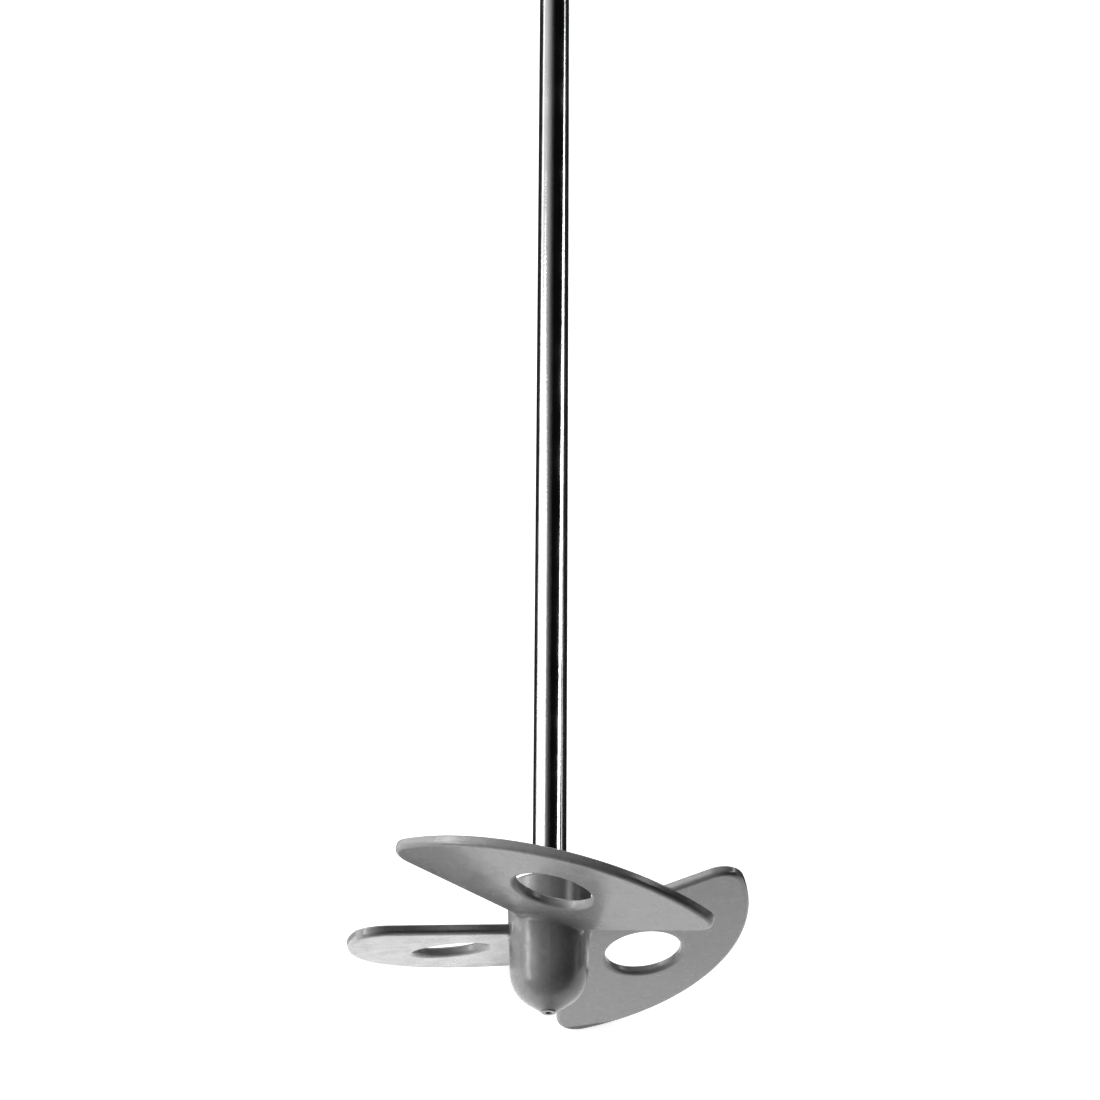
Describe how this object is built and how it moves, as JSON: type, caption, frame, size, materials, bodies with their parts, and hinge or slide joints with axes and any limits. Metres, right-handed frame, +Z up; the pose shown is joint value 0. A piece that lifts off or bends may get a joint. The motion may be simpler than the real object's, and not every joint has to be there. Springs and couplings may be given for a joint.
{
  "type": "paint mixing paddle",
  "caption": "Paint mixing paddle for a power drill: a bright steel rod with a moulded plastic head of pitched, pierced blades.",
  "frame": {"origin": "middle of the object's bounding box on the surface that it lies on", "axes": "+Z up; +Y along the rod from the mixing head to the chuck end; +X to the right, seen from the head's end"},
  "size_m": [0.093, 0.3992, 0.0915],
  "materials": {
    "steel": "bright drawn steel, smooth, with fine streaks along its length",
    "plastic": "mid grey moulded plastic, satin, with a fine even texture"
  },
  "bodies": {
    "root": {"drive_rod": "steel", "mixing_head": "plastic"}
  },
  "joints": []
}
